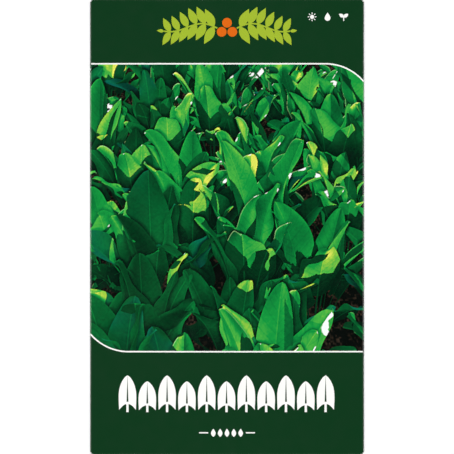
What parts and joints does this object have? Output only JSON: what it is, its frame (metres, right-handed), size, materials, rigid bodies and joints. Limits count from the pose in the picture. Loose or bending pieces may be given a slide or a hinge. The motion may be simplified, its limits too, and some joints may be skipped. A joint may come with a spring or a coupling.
{
  "type": "seed packet",
  "caption": "Flat paper seed packet, folded and glued like an envelope, with a low belly over the loose seeds inside.",
  "frame": {"origin": "middle of the surface that the packet covers, at the height of that surface", "axes": "+Z out of the front panel, +Y towards the packet's top edge"},
  "size_m": [0.09, 0.15, 0.003],
  "materials": {
    "printed_paper": "coated white paper, printed dark green with a picture, satin",
    "seed_coat": "glossy brown nutlets"
  },
  "bodies": {
    "root": {"paper_packet": "printed_paper", "seeds": "seed_coat"}
  },
  "joints": []
}
